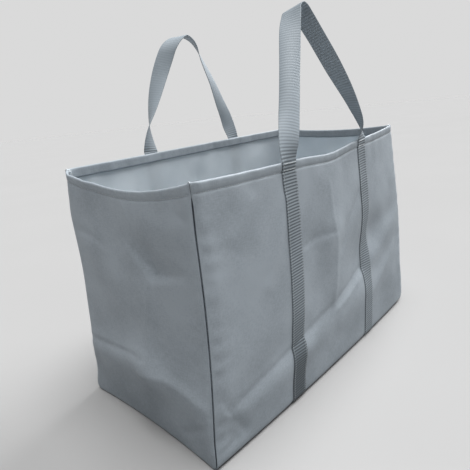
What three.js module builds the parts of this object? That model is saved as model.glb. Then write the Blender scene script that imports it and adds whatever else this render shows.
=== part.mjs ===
// Log carrier: an open-topped tote of coated cloth, carried by two loops of webbing.
// One long panel makes the front, base and back. An end panel is sewn into each side of it.
// Units are millimetres. X runs along the bag, the front faces -Y, and the floor is z = 0.
import * as THREE from 'three';

// Driving dimensions of the cloth body.
const BASE_LENGTH = 600;
const BASE_WIDTH = 300;
const EDGE_RADIUS = 10;
const CLOTH = 1.5;
const HEM_HEIGHT = 15;
const HEM_THICKNESS = 3.4;

// The seams: the edges of two panels turn inward side by side, and the stitching draws the seam line in.
const SEWN_GAP = 0.3;
const SEAM_ALLOWANCE = 9;
const SEAM_DRAW = 2;
const SEAM_ROLL = 10;

// Driving dimensions of the webbing and its two handle loops.
const WEBBING_WIDTH = 32;
const WEBBING_THICKNESS = 1.8;
const STRAP_SPACING = 240;
const CHANNEL_EDGE = 6;

// Where the four corner seams end at the rim, and how far each bows out of line half-way up.
const CORNERS = {
  frontLeft: { base: [-1, -1], rim: [-293, -159, 378], bow: [6, -2] },
  frontRight: { base: [1, -1], rim: [290, -126, 388], bow: [10, -3] },
  backLeft: { base: [-1, 1], rim: [-277, 140, 384], bow: [-1, 2] },
  backRight: { base: [1, 1], rim: [291, 152, 392], bow: [6, 3] },
};

// Folds of each wall. A fold runs from (along, up) to (toAlong, toUp), and a positive height stands out.
const FRONT_FOLDS = [
  { along: -250, up: 56, toAlong: -100, toUp: 78, width: 24, height: 3 },
  { along: -250, up: 92, toAlong: -100, toUp: 112, width: 22, height: -3 },
  { along: -100, up: 80, toAlong: 90, toUp: 96, width: 28, height: 3 },
  { along: -100, up: 114, toAlong: 95, toUp: 142, width: 24, height: -3 },
  { along: -18, up: 150, toAlong: -18, toUp: 330, width: 26, height: 3 },
  { along: -70, up: 170, toAlong: -60, toUp: 245, width: 34, height: -3 },
  { along: 96, up: 186, toAlong: 150, toUp: 212, width: 52, height: -10 },
  { along: 118, up: 262, toAlong: 128, toUp: 335, width: 40, height: -4 },
  { along: 158, up: 146, toAlong: 262, toUp: 188, width: 26, height: 5 },
  { along: 152, up: 330, toAlong: 250, toUp: 258, width: 24, height: 4 },
  { along: -286, up: 66, toAlong: -262, toUp: 34, width: 22, height: -4 },
];
const BACK_FOLDS = [
  { along: -230, up: 66, toAlong: 90, toUp: 92, width: 26, height: 3 },
  { along: -230, up: 98, toAlong: 90, toUp: 126, width: 24, height: -3 },
  { along: -6, up: 140, toAlong: -6, toUp: 320, width: 26, height: 3 },
  { along: 200, up: 330, toAlong: 150, toUp: 200, width: 30, height: -4 },
  { along: -190, up: 320, toAlong: -220, toUp: 200, width: 28, height: -4 },
];
const LEFT_FOLDS = [
  { along: 139, up: 92, toAlong: -24, toUp: 106, width: 32, height: 7 },
  { along: -24, up: 112, toAlong: -138, toUp: 86, width: 32, height: 7 },
  { along: -46, up: 262, toAlong: -122, toUp: 270, width: 26, height: -9 },
  { along: -12, up: 268, toAlong: -34, toUp: 258, width: 26, height: -4 },
  { along: -50, up: 336, toAlong: -112, toUp: 326, width: 28, height: 3 },
  { along: -14, up: 350, toAlong: -34, toUp: 160, width: 22, height: 2 },
  { along: 90, up: 270, toAlong: 40, toUp: 230, width: 44, height: 3 },
];
const RIGHT_FOLDS = [
  { along: -130, up: 88, toAlong: 10, toUp: 108, width: 34, height: 5 },
  { along: 10, up: 108, toAlong: 130, toUp: 84, width: 34, height: 5 },
  { along: 4, up: 150, toAlong: 10, toUp: 330, width: 26, height: -5 },
];

// The walls: how far each swells at mid-height and at the rim, draws in at the floor (a minus spreads it)
// and sags at the rim.
const WALLS = {
  front: {
    from: 'frontLeft', to: 'frontRight', out: [0, -1], half: BASE_LENGTH / 2, folds: FRONT_FOLDS,
    belly: 4, rimOut: 11, footIn: -6, footReach: 120, sag: 8, dip: 5,
  },
  back: {
    from: 'backLeft', to: 'backRight', out: [0, 1], half: BASE_LENGTH / 2, folds: BACK_FOLDS,
    belly: 4, rimOut: 13, footIn: -6, footReach: 120, sag: 1, dip: 0,
  },
  left: {
    from: 'frontLeft', to: 'backLeft', out: [-1, 0], half: BASE_WIDTH / 2, folds: LEFT_FOLDS,
    belly: 3, rimOut: 2, footIn: 6, footReach: 60, sag: 19, dip: 0,
  },
  right: {
    from: 'frontRight', to: 'backRight', out: [1, 0], half: BASE_WIDTH / 2, folds: RIGHT_FOLDS,
    belly: 3, rimOut: 3, footIn: 5, footReach: 60, sag: 7, dip: 0,
  },
};

// The handle loops: the bend above the rim, how steeply the legs lean together, the bend at the tip,
// how far each loop leans over the bag in degrees, and how far it sways sideways and bows outward.
const HANDLES = {
  front: { footRadius: 90, legAngle: 29.2, tipRadius: 14, lean: 17, sway: 13, bow: 8 },
  back: { footRadius: 110, legAngle: 28, tipRadius: 36, lean: 2, sway: -9, bow: 13 },
};

// How each handle leg turns and strays at a share of its length: 90 degrees is flat on the wall and 0 square
// across the tip, aside is along X, outward is away from the bag, and rise is up. A first turn of -90 turns
// the webbing over, so that the loop has half a twist.
const LEGS = {
  front: {
    left: [
      { share: 0, turn: 90, aside: 0, outward: 0, rise: 0 },
      { share: 0.12, turn: 68, aside: 2, outward: 3.5, rise: -0.7 },
      { share: 0.3, turn: 52, aside: 1.7, outward: 1.6, rise: -1.4 },
      { share: 0.55, turn: 45, aside: 0.3, outward: 1.1, rise: -0.2 },
      { share: 0.8, turn: 28, aside: -0.7, outward: 3.2, rise: 0.4 },
      { share: 1, turn: 0, aside: 1.2, outward: 8.2, rise: -1.5 },
    ],
    right: [
      { share: 0, turn: 90, aside: 0, outward: 0, rise: 0 },
      { share: 0.12, turn: 53, aside: 0.8, outward: 6, rise: -2.4 },
      { share: 0.3, turn: 30, aside: 0.5, outward: 7.8, rise: -0.5 },
      { share: 0.55, turn: 8, aside: 0.5, outward: 6.9, rise: 0.2 },
      { share: 0.8, turn: 8, aside: 1.3, outward: 7, rise: 0.6 },
      { share: 1, turn: 0, aside: 1.2, outward: 8.2, rise: -1.5 },
    ],
  },
  back: {
    left: [
      { share: 0, turn: 90, aside: 0, outward: 0, rise: 0 },
      { share: 0.12, turn: 60, aside: 1.1, outward: -0.4, rise: -0.9 },
      { share: 0.3, turn: 18, aside: 0, outward: -0.1, rise: -0.8 },
      { share: 0.55, turn: -21, aside: -1.3, outward: 1.9, rise: -2.6 },
      { share: 0.8, turn: -34, aside: -3.9, outward: 3.2, rise: -9 },
      { share: 1, turn: 0, aside: -0.4, outward: -3, rise: 0 },
    ],
    right: [
      { share: 0, turn: -90, aside: 0, outward: 0, rise: 0 },
      { share: 0.12, turn: -98, aside: -0.7, outward: 0.6, rise: 0.4 },
      { share: 0.3, turn: -84, aside: 3.6, outward: -3.2, rise: 0.1 },
      { share: 0.55, turn: -63, aside: 6.7, outward: -7.8, rise: -0.9 },
      { share: 0.8, turn: -43, aside: 5, outward: -4.7, rise: -2.6 },
      { share: 1, turn: 0, aside: -0.4, outward: -3, rise: 0 },
    ],
  },
};

// How finely the surfaces are divided.
const WALL_ROWS = 17;
const ARC_STEPS = 3;
const END_COLUMNS = 12;
const SIDE_COLUMNS = 4;
const MIDDLE_COLUMNS = 6;
const HEM_STEP = 1.2;
const FOOT_STEPS = 4;
const LEG_STEPS = 8;
const TIP_STEPS = 5;

// Reaches of the soft blends.
const DIP_REACH = 60;
const CORNER_FADE = 8;
const FLOOR_FADE = 30;
const ROW_LIFT = 8;
const ROW_LIFT_REACH = 40;
const CLOSE = 1e-9;

const HALF_LENGTH = BASE_LENGTH / 2;
const HALF_WIDTH = BASE_WIDTH / 2;
const FLAT_WIDTH = HALF_WIDTH - EDGE_RADIUS;
const WALL_HEIGHT = CORNERS.frontLeft.rim[2] - EDGE_RADIUS;
const CHANNEL_DEPTH = SEWN_GAP + WEBBING_THICKNESS;

const vec = (x, y, z) => new THREE.Vector3(x, y, z);
const radians = THREE.MathUtils.degToRad;
const moved = (point, direction, distance) => point.clone().addScaledVector(direction, distance);

// A point on a corner seam, at height fraction w above the rounded bottom edge.
function cornerPoint(name, w) {
  const { base, rim, bow } = CORNERS[name];
  const foot = vec(base[0] * HALF_LENGTH, base[1] * HALF_WIDTH, EDGE_RADIUS);
  const swing = Math.sin(Math.PI * w);
  return foot.lerp(vec(...rim), w).add(vec(bow[0] * swing, bow[1] * swing, 0));
}

// How far the folds of a wall move the point (along, up) outward.
function foldHeight(folds, along, up) {
  const point = vec(along, up, 0);
  const nearest = vec();
  let height = 0;
  for (const fold of folds) {
    const line = new THREE.Line3(vec(fold.along, fold.up, 0), vec(fold.toAlong, fold.toUp, 0));
    line.closestPointToPoint(point, true, nearest);
    height += fold.height * Math.exp(-((nearest.distanceTo(point) / fold.width) ** 2));
  }
  return height;
}

// A point on the outside of a wall: s runs from -1 to 1 between its corners, and w from floor edge to rim.
function wallPoint(side, s, w, lift = 0) {
  const wall = WALLS[side];
  const point = cornerPoint(wall.from, w).lerp(cornerPoint(wall.to, w), (s + 1) / 2);
  point.z += lift;
  const crown = 1 - s * s;
  const along = s * wall.half;
  const fade = (1 - Math.abs(s) ** CORNER_FADE) * THREE.MathUtils.smoothstep(point.z, 0, FLOOR_FADE);
  const out = wall.belly * crown * Math.sin(Math.PI * w)
    + wall.rimOut * crown * w * w
    - wall.footIn * crown * Math.exp(-Math.max(point.z - EDGE_RADIUS, 0) / wall.footReach)
    + foldHeight(wall.folds, along, point.z) * fade;
  const sag = wall.sag * crown + wall.dip * Math.exp(-((along / DIP_REACH) ** 2));
  return point.add(vec(wall.out[0] * out, wall.out[1] * out, -sag * w * w));
}

// The rows of the long panel, from the front rim down, under the base and up to the back rim.
function wallRows(side) {
  const rows = [];
  const hemStart = 1 - HEM_HEIGHT / WALL_HEIGHT;
  for (let k = 0; k < WALL_ROWS; k += 1) {
    rows.push({ side, w: (k / (WALL_ROWS - 1)) * (hemStart - HEM_STEP / WALL_HEIGHT), thickness: CLOTH });
  }
  rows.push({ side, w: hemStart, thickness: HEM_THICKNESS });
  rows.push({ side, w: 1, thickness: HEM_THICKNESS });
  return rows;
}

function arcRows(side) {
  const angles = Array.from({ length: ARC_STEPS }, (_, k) => (k / ARC_STEPS) * (Math.PI / 2));
  return angles.map((angle) => ({ side, angle, thickness: CLOTH }));
}

// Places across an end panel, from -1 to 1, with one close to each corner seam.
function endStations() {
  const first = 1 - SEAM_ROLL / HALF_WIDTH;
  const inner = Array.from({ length: END_COLUMNS - 1 }, (_, k) => first * ((2 * k) / (END_COLUMNS - 2) - 1));
  return [-1, ...inner, 1];
}

function panelRows() {
  const base = endStations().slice(1, -1).map((s) => ({ side: 'base', y: s * FLAT_WIDTH, thickness: CLOTH }));
  const front = [...arcRows('front'), ...wallRows('front')].reverse();
  const back = [...arcRows('back'), ...wallRows('back')];
  return [...front, ...base, ...back];
}

// The outward direction of a row of the long panel.
function rowNormal(row) {
  if (row.side === 'base') return vec(0, 0, -1);
  const outward = WALLS[row.side].out[1];
  if (row.angle === undefined) return vec(0, outward, 0);
  return vec(0, outward * Math.sin(row.angle), -Math.cos(row.angle));
}

// How deep the cloth is pressed in under a strap, full on the base and none on the walls.
function channelShare(row) {
  if (row.side === 'base') return 1;
  return row.angle === undefined ? 0 : Math.cos(row.angle);
}

// A point on the outside of the long panel: column.x runs along the base, column.shift across a strap.
function panelPoint(row, column) {
  const s = (column.x + column.shift) / HALF_LENGTH;
  if (row.w !== undefined) {
    const point = wallPoint(row.side, s, row.w);
    point.x = wallPoint(row.side, column.x / HALF_LENGTH, row.w).x + column.shift;
    return point;
  }
  const normal = rowNormal(row);
  if (row.side === 'base') {
    const crown = 1 - (row.y / FLAT_WIDTH) ** 2;
    const inset = (s < 0 ? WALLS.left.footIn : WALLS.right.footIn) * crown * Math.abs(s) ** CORNER_FADE;
    return vec(s * HALF_LENGTH - Math.sign(s) * inset, row.y, 0);
  }
  const wall = WALLS[row.side];
  const reach = FLAT_WIDTH - wall.footIn * (1 - s * s);
  return moved(vec(s * HALF_LENGTH, wall.out[1] * reach, EDGE_RADIUS), normal, EDGE_RADIUS);
}

// The columns of the long panel, with four at each strap so that the webbing lies flat on the cloth.
function panelColumns() {
  const reach = WEBBING_WIDTH / 2 + CHANNEL_EDGE;
  const strap = STRAP_SPACING / 2;
  const spread = (start, end, count) => Array.from({ length: count - 1 }, (_, k) => ({
    x: start + ((end - start) * (k + 1)) / count, shift: 0, pressed: false,
  }));
  const strapColumns = (x) => [-reach, -WEBBING_WIDTH / 2, WEBBING_WIDTH / 2, reach].map((shift) => ({
    x, shift, pressed: Math.abs(shift) < reach,
  }));
  const first = HALF_LENGTH - SEAM_ROLL;
  return [
    { x: -first, shift: 0, pressed: false },
    ...spread(-first, -strap - reach, SIDE_COLUMNS),
    ...strapColumns(-strap),
    ...spread(-strap + reach, strap - reach, MIDDLE_COLUMNS),
    ...strapColumns(strap),
    ...spread(strap + reach, first, SIDE_COLUMNS),
    { x: first, shift: 0, pressed: false },
  ];
}

// One station of a seam: where the stitch line runs, and the edges of both panels turned in beside it.
function seamStation(row, endSide) {
  const endOut = WALLS[endSide].out[0];
  const inFromEnd = vec(-endOut, 0, 0);
  const inFromPanel = rowNormal(row).negate();
  const corner = panelPoint(row, { x: endOut * HALF_LENGTH, shift: 0 });
  const inward = inFromEnd.clone().add(inFromPanel).normalize();
  const apart = inFromEnd.clone().sub(inFromPanel).normalize();
  const line = moved(moved(corner, inFromEnd, SEAM_DRAW), inFromPanel, SEAM_DRAW);
  const sides = { panel: [1, inFromEnd, inFromPanel], end: [-1, inFromPanel, inFromEnd] };
  const station = {};
  for (const [piece, [sign, alongWall, intoBag]] of Object.entries(sides)) {
    const outer = moved(line, apart, (sign * SEWN_GAP) / 2);
    const edge = moved(outer, inward, SEAM_ALLOWANCE);
    const innerAlong = row.thickness + Math.SQRT2 * CLOTH;
    station[piece] = {
      outer,
      edge,
      inner: moved(moved(outer, alongWall, innerAlong), intoBag, row.thickness),
      innerEdge: moved(edge, apart, sign * CLOTH),
    };
  }
  return station;
}

// Collects the corner points and faces of one closed solid.
class Shell {
  constructor() {
    this.positions = [];
    this.indices = [];
  }

  add(point) {
    this.positions.push(point.x, point.y, point.z);
    return this.positions.length / 3 - 1;
  }

  quad(a, b, c, d) {
    this.indices.push(a, b, c, a, c, d);
  }

  geometry() {
    const geometry = new THREE.BufferGeometry();
    geometry.setAttribute('position', new THREE.Float32BufferAttribute(this.positions, 3));
    geometry.setIndex(this.indices);
    geometry.computeVertexNormals();
    return geometry;
  }
}

// A sheet with two skins: grids of outer and inner points, closed round all four edges.
function sheetGeometry(outerGrid, innerGrid) {
  const shell = new Shell();
  const outer = outerGrid.map((row) => row.map((point) => shell.add(point)));
  const inner = innerGrid.map((row) => row.map((point) => shell.add(point)));
  const lastRow = outer.length - 1;
  const lastColumn = outer[0].length - 1;
  for (let i = 0; i < lastRow; i += 1) {
    for (let j = 0; j < lastColumn; j += 1) {
      shell.quad(outer[i][j], outer[i + 1][j], outer[i + 1][j + 1], outer[i][j + 1]);
      shell.quad(inner[i][j], inner[i][j + 1], inner[i + 1][j + 1], inner[i + 1][j]);
    }
    const next = i + 1;
    shell.quad(inner[i][0], inner[next][0], outer[next][0], outer[i][0]);
    shell.quad(outer[i][lastColumn], outer[next][lastColumn], inner[next][lastColumn], inner[i][lastColumn]);
  }
  for (let j = 0; j < lastColumn; j += 1) {
    shell.quad(inner[0][j + 1], inner[0][j], outer[0][j], outer[0][j + 1]);
    shell.quad(outer[lastRow][j + 1], outer[lastRow][j], inner[lastRow][j], inner[lastRow][j + 1]);
  }
  return shell.geometry();
}

// The long panel: front, base and back in one length of cloth.
function mainPanelGeometry() {
  const columns = panelColumns();
  const outerGrid = [];
  const innerGrid = [];
  for (const row of panelRows()) {
    const normal = rowNormal(row);
    const left = seamStation(row, 'left').panel;
    const right = seamStation(row, 'right').panel;
    const press = CHANNEL_DEPTH * channelShare(row);
    const outer = columns.map((column) => (
      moved(panelPoint(row, column), normal, column.pressed ? -press : 0)
    ));
    const inner = outer.map((point) => moved(point, normal, -row.thickness));
    outerGrid.push([left.edge, left.outer, ...outer, right.outer, right.edge]);
    innerGrid.push([left.innerEdge, left.inner, ...inner, right.inner, right.innerEdge]);
  }
  return sheetGeometry(outerGrid, innerGrid);
}

// An end panel: a sheet with a rounded foot, whose turned-in edge follows the seam down, across and up.
function endPanelGeometry(side) {
  const places = endStations().slice(1, -1);
  const outX = WALLS[side].out[0];
  const frontRows = [...arcRows('front'), ...wallRows('front')];
  const backRows = [...arcRows('back'), ...wallRows('back')];
  const seam = (row) => seamStation(row, side).end;
  const frontSeam = frontRows.map(seam);
  const backSeam = backRows.map(seam);
  const footSeam = places.map((s) => seam({ side: 'base', y: s * FLAT_WIDTH, thickness: CLOTH }));
  const shell = new Shell();
  const quad = outX < 0 ? (a, b, c, d) => shell.quad(a, b, c, d) : (a, b, c, d) => shell.quad(d, c, b, a);

  const outer = [];
  const inner = [];
  frontRows.forEach((row, k) => {
    const height = frontSeam[k].outer.z;
    const lift = ROW_LIFT * Math.exp(-height / ROW_LIFT_REACH) + Math.min(height - EDGE_RADIUS, 0);
    const cloth = k === 0
      ? footSeam
      : places.map((s) => {
        const point = wallPoint(side, s, row.w ?? 0, row.w === undefined ? lift : Math.max(lift, 0));
        return { outer: point, inner: moved(point, vec(-outX, 0, 0), row.thickness) };
      });
    const line = [frontSeam[k], ...cloth, backSeam[k]];
    outer.push(line.map((station) => shell.add(station.outer)));
    inner.push(line.map((station) => shell.add(station.inner)));
  });
  const top = outer.length - 1;
  const last = outer[0].length - 1;
  for (let j = 0; j < last; j += 1) {
    for (let i = 0; i < top; i += 1) {
      quad(outer[i][j], outer[i + 1][j], outer[i + 1][j + 1], outer[i][j + 1]);
      quad(inner[i][j], inner[i][j + 1], inner[i + 1][j + 1], inner[i + 1][j]);
    }
    quad(outer[top][j + 1], outer[top][j], inner[top][j], inner[top][j + 1]);
  }

  // The turned-in edge, from the front rim down to the floor, across it and up to the back rim.
  const round = (grid) => [
    ...grid.map((line) => line[0]).reverse(),
    ...grid[0].slice(1, -1),
    ...grid.map((line) => line[last]),
  ];
  const stations = [...[...frontSeam].reverse(), ...footSeam, ...backSeam];
  const chain = {
    outer: round(outer),
    edge: stations.map((station) => shell.add(station.edge)),
    innerEdge: stations.map((station) => shell.add(station.innerEdge)),
    inner: round(inner),
  };
  const turns = [['outer', 'edge'], ['edge', 'innerEdge'], ['innerEdge', 'inner']];
  for (let m = 0; m < stations.length - 1; m += 1) {
    for (const [near, far] of turns) {
      quad(chain[near][m], chain[near][m + 1], chain[far][m + 1], chain[far][m]);
    }
  }
  const ends = stations.length - 1;
  quad(chain.outer[0], chain.edge[0], chain.innerEdge[0], chain.inner[0]);
  quad(chain.outer[ends], chain.inner[ends], chain.innerEdge[ends], chain.edge[ends]);
  return shell.geometry();
}

// Four corners of a webbing section: centre, direction across the width, and outward direction.
function webbingSection(centre, across, outward) {
  const half = WEBBING_WIDTH / 2;
  const rise = WEBBING_THICKNESS / 2;
  return [[1, 1], [-1, 1], [-1, -1], [1, -1]].map(([a, b]) => (
    moved(moved(centre, across, a * half), outward, b * rise)
  ));
}

// Whether a run of webbing shows its other face, because its loop has half a twist.
function isTurnedOver(side, strap) {
  return LEGS[side][strap < 0 ? 'left' : 'right'][0].turn < 0;
}

// A run of webbing on the cloth, from the middle of the base up to the rim; inward points into the loop.
function runSections(side, strap) {
  const inward = -Math.sign(strap);
  const outward = WALLS[side].out[1];
  const turnedOver = isTurnedOver(side, strap);
  const start = { side: 'base', y: (outward * SEWN_GAP) / 2, thickness: CLOTH };
  const base = panelRows().filter((row) => row.side === 'base' && row.y * outward > SEWN_GAP);
  base.sort((a, b) => Math.abs(a.y) - Math.abs(b.y));
  const rows = [start, ...base, ...arcRows(side), ...wallRows(side)];
  return rows.map((row) => {
    const normal = rowNormal(row);
    const press = CHANNEL_DEPTH * channelShare(row);
    const edges = [inward, -inward].map((sign) => (
      moved(panelPoint(row, { x: strap, shift: (sign * WEBBING_WIDTH) / 2 }), normal, SEWN_GAP - press)
    ));
    const [inner, outer] = edges;
    const top = edges.map((point) => moved(point, normal, WEBBING_THICKNESS));
    return turnedOver ? [outer, inner, top[0], top[1]] : [top[0], top[1], outer, inner];
  });
}

// The path of one handle leg in the plane of its loop: a list of places and headings from the rim to the tip.
function legPath(halfSpan, { footRadius, legAngle, tipRadius }) {
  const angle = radians(legAngle);
  const arcsAcross = footRadius * (1 - Math.cos(angle)) + tipRadius * Math.cos(angle);
  const straight = (halfSpan - arcsAcross) / Math.sin(angle);
  const path = [];
  for (let k = 1; k <= FOOT_STEPS; k += 1) {
    const turn = (angle * k) / FOOT_STEPS;
    path.push({
      across: footRadius * (1 - Math.cos(turn)),
      up: footRadius * Math.sin(turn),
      turn,
      length: footRadius * turn,
    });
  }
  const foot = path.at(-1);
  for (let k = 1; k <= LEG_STEPS; k += 1) {
    const run = (straight * k) / LEG_STEPS;
    path.push({
      across: foot.across + run * Math.sin(angle),
      up: foot.up + run * Math.cos(angle),
      turn: angle,
      length: foot.length + run,
    });
  }
  const leg = path.at(-1);
  for (let k = 1; k <= TIP_STEPS; k += 1) {
    const turn = angle + ((Math.PI / 2 - angle) * k) / TIP_STEPS;
    path.push({
      across: leg.across + tipRadius * (Math.cos(angle) - Math.cos(turn)),
      up: leg.up + tipRadius * (Math.sin(turn) - Math.sin(angle)),
      turn,
      length: leg.length + tipRadius * (turn - angle),
    });
  }
  return path;
}

// One column of a leg's table at a share of its length, on a smooth curve through the rows.
function legAt(rows, column, share) {
  const next = Math.max(1, rows.findIndex((row) => row.share >= share - CLOSE));
  const slope = (k) => {
    const before = rows[Math.max(k - 1, 0)];
    const after = rows[Math.min(k + 1, rows.length - 1)];
    return (after[column] - before[column]) / (after.share - before.share);
  };
  const [low, high] = [rows[next - 1], rows[next]];
  const span = high.share - low.share;
  const t = (share - low.share) / span;
  const eased = t * t * (3 - 2 * t);
  const bend = t * (1 - t) * span * (slope(next - 1) * (1 - t) - slope(next) * t);
  return THREE.MathUtils.lerp(low[column], high[column], eased) + bend;
}

// The sections of a handle loop between its two rim sections, flat at the rim and turned edgeways at the tip.
function loopSections(side, startSection, endSection) {
  const { lean, sway, bow } = HANDLES[side];
  const centreOf = (corners) => (
    corners.reduce((sum, point) => sum.add(point), vec(0, 0, 0)).divideScalar(corners.length)
  );
  const start = centreOf(startSection);
  const end = centreOf(endSection);
  const toEnd = end.clone().sub(start);
  const halfSpan = toEnd.length() / 2;
  const across = toEnd.normalize();
  const leanIn = -WALLS[side].out[1] * Math.sin(radians(lean));
  const rise = vec(0, leanIn, Math.cos(radians(lean)));
  const up = moved(rise, across, -rise.dot(across)).normalize();
  const loopOut = across.clone().cross(up);
  const path = legPath(halfSpan, HANDLES[side]);
  const { length: total, up: height } = path.at(-1);
  const section = (place, origin, towards, direction) => {
    const share = place.up / height;
    const bowed = WALLS[side].out[1] * bow * Math.sin(Math.PI * share);
    const centre = moved(moved(origin, towards, place.across), up, place.up);
    const rows = LEGS[side][origin.x < 0 ? 'left' : 'right'];
    const [turn, aside, outwardBy, riseBy] = ['turn', 'aside', 'outward', 'rise'].map((column) => (
      legAt(rows, column, place.length / total)
    ));
    centre.add(vec(sway * share ** 2 + aside, bowed + WALLS[side].out[1] * outwardBy, riseBy));
    const heading = moved(up.clone().multiplyScalar(Math.cos(place.turn)), towards, Math.sin(place.turn));
    const inside = moved(towards.clone().multiplyScalar(Math.cos(place.turn)), up, -Math.sin(place.turn));
    const twist = radians(turn);
    const width = moved(loopOut.clone().multiplyScalar(Math.cos(twist)), inside, Math.sin(twist));
    const outward = width.clone().cross(heading).multiplyScalar(direction);
    return webbingSection(centre, width, outward);
  };
  const back = across.clone().negate();
  const rising = path.map((place) => section(place, start, across, 1));
  const falling = path.slice(0, -1).map((place) => section(place, end, back, -1));
  return [...rising, ...falling.reverse()];
}

// One length of webbing: up one run, round the handle loop and down the other run.
function webbingGeometry(side) {
  const first = (WALLS[side].out[1] * STRAP_SPACING) / 2;
  const upRun = runSections(side, first);
  const downRun = runSections(side, -first).reverse();
  const sections = [...upRun, ...loopSections(side, upRun.at(-1), downRun[0]), ...downRun];
  const shell = new Shell();
  const rings = sections.map((section) => section.map((point) => shell.add(point)));
  for (let k = 0; k < rings.length - 1; k += 1) {
    const here = rings[k];
    const next = rings[k + 1];
    // Both broad faces are split along the same diagonals as the cloth beneath them.
    if (isTurnedOver(side, k < rings.length / 2 ? first : -first)) {
      shell.quad(next[0], next[1], here[1], here[0]);
      shell.quad(here[2], next[2], next[3], here[3]);
    } else {
      shell.quad(here[0], next[0], next[1], here[1]);
      shell.quad(next[2], next[3], here[3], here[2]);
    }
    shell.quad(here[1], next[1], next[2], here[2]);
    shell.quad(here[3], next[3], next[0], here[0]);
  }
  const [a, b, c, d] = rings.at(-1);
  shell.quad(...rings[0]);
  shell.quad(d, c, b, a);
  return shell.geometry();
}

const coatedCloth = new THREE.MeshStandardMaterial({ color: 0x8b949b, roughness: 0.62, metalness: 0 });
const webbing = new THREE.MeshStandardMaterial({ color: 0x79828a, roughness: 0.55, metalness: 0 });

const logCarrier = new THREE.Group();
const pieces = [
  ['main_panel', mainPanelGeometry(), coatedCloth],
  ['end_panel_left', endPanelGeometry('left'), coatedCloth],
  ['end_panel_right', endPanelGeometry('right'), coatedCloth],
  ['webbing_front', webbingGeometry('front'), webbing],
  ['webbing_back', webbingGeometry('back'), webbing],
];
for (const [name, geometry, material] of pieces) {
  const mesh = new THREE.Mesh(geometry, material.clone());
  mesh.name = name;
  logCarrier.add(mesh);
}

export default logCarrier;
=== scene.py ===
"""Log carrier: an open tote of coated cloth with two loops of ribbed webbing. Sizes are in millimetres."""
import bpy
import math
import numpy as np
from collections import namedtuple
from mathutils import Euler, Matrix, Vector


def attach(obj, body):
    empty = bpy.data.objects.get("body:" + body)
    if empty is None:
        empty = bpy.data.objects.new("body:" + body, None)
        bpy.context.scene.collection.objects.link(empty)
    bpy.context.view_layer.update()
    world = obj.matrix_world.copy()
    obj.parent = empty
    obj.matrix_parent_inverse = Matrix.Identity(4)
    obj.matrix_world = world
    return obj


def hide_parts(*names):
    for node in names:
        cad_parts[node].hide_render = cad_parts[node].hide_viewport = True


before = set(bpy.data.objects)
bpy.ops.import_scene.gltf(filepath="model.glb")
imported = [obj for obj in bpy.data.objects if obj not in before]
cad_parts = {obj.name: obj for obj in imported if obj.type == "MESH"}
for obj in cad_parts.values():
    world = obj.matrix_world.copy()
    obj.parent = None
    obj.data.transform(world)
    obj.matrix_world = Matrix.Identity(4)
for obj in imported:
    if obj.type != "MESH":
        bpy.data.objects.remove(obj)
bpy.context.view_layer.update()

MM = 0.001

# Body of the bag.
BASE_LENGTH, BASE_WIDTH, EDGE_RADIUS = 600, 300, 10
HALF_LENGTH, HALF_WIDTH = BASE_LENGTH / 2, BASE_WIDTH / 2
FLAT_WIDTH = HALF_WIDTH - EDGE_RADIUS
WALL_HEIGHT = 370
CLOTH = 0.7

# How finely the cloth is drawn: the step between rows of a wall, the turns of the cloth round the bottom
# edge from base to wall, the rows of the base, and the columns of an end panel.
CLOTH_STEP = 4
BEND_TURNS = np.radians([0, 18, 36, 54, 72])
BASE_ROWS, END_COLUMNS = 32, 96

# Hem: the cloth turns over the rim in a roll and is sewn down inside, this far below the rim.
HEM_DEPTH, HEM_ROLL, HEM_SEWN, HEM_SWELL = 14, 2.2, 12.5, 1.4

# Seams: the edges of two panels roll in side by side, with the cut edges inside the bag. Outside its
# stitches a seam gapes, by a share of the radius of its roll. Towards the hem the roll is pressed flat,
# between these distances below the rim.
SEAM_ROLL, SEAM_ALLOWANCE, SEWN_GAP = 0.55, 9, 0.2
HEM_SEAM_ROLL, HEM_PRESS = 0.08, (26, 13)
SEAM_GAPE = 1.7
SEAM_REACH = 1 + math.sqrt(2) + SEAM_GAPE
ROLL_REACH = SEAM_REACH * SEAM_ROLL
ROLL_TURNS = np.radians([22, 45, 68, 90, 112, 135])
ROLL_SHARES = np.arange(1, len(ROLL_TURNS) + 1) / len(ROLL_TURNS)

# Corners: a flare starts at this share of the height, and reaches this far from the corner. The bulge of a
# foot reaches this far, stands highest here and spreads this far up and down. A tuck ends at this height.
FLARE_START, FLARE_REACH = 0.5, 70
FOOT_REACH, BULGE_HEIGHT, BULGE_SPREAD, TUCK_HEIGHT = 40, 48, 24, 36

# A corner is sharp low down, and gets its radius between these distances below the rim. The rounding fades
# out between these distances from the corner.
SHARP_RADIUS, ROUND_BELOW, ROUND_FADE = 0.1, (90, 10), (12, 24)

# How far in, and over what length, the main panel and the end panels curve round to a corner seam. The
# curve comes in between these distances below the rim, ends at this height, and fades out inside the bag.
MAIN_SHOULDER, END_SHOULDER = (4.5, 22), (2.2, 9)
SHOULDER_BELOW, SHOULDER_FOOT, SHOULDER_FADE = (8, 70), 45, (10, 30)

# Webbing.
WEBBING_WIDTH, WEBBING_THICKNESS, STRAP_PLACE = 32, 1.3, 120
RIB_PITCH, SELVAGE = 4.4, 2.6
LOOSE_RIB, SEWN_RIB = 0.18, 0.42
CHANNEL_DEPTH, CHANNEL_EDGE = 1.5, 6

# How finely the webbing is drawn: rows under half of the base, rows of a handle leg round its foot, along
# it and round half of the tip, and rows to a rib. Columns are shares of the half width, close at its edges.
UNDER_ROWS, FOOT_ROWS, LEG_ROWS, TIP_ROWS, RIB_ROWS = 36, 15, 46, 16, 6
WEBBING_COLUMNS = np.array([-1, -0.94, -0.86, -0.75, -0.5, -0.25, 0, 0.25, 0.5, 0.75, 0.86, 0.94, 1])

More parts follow.
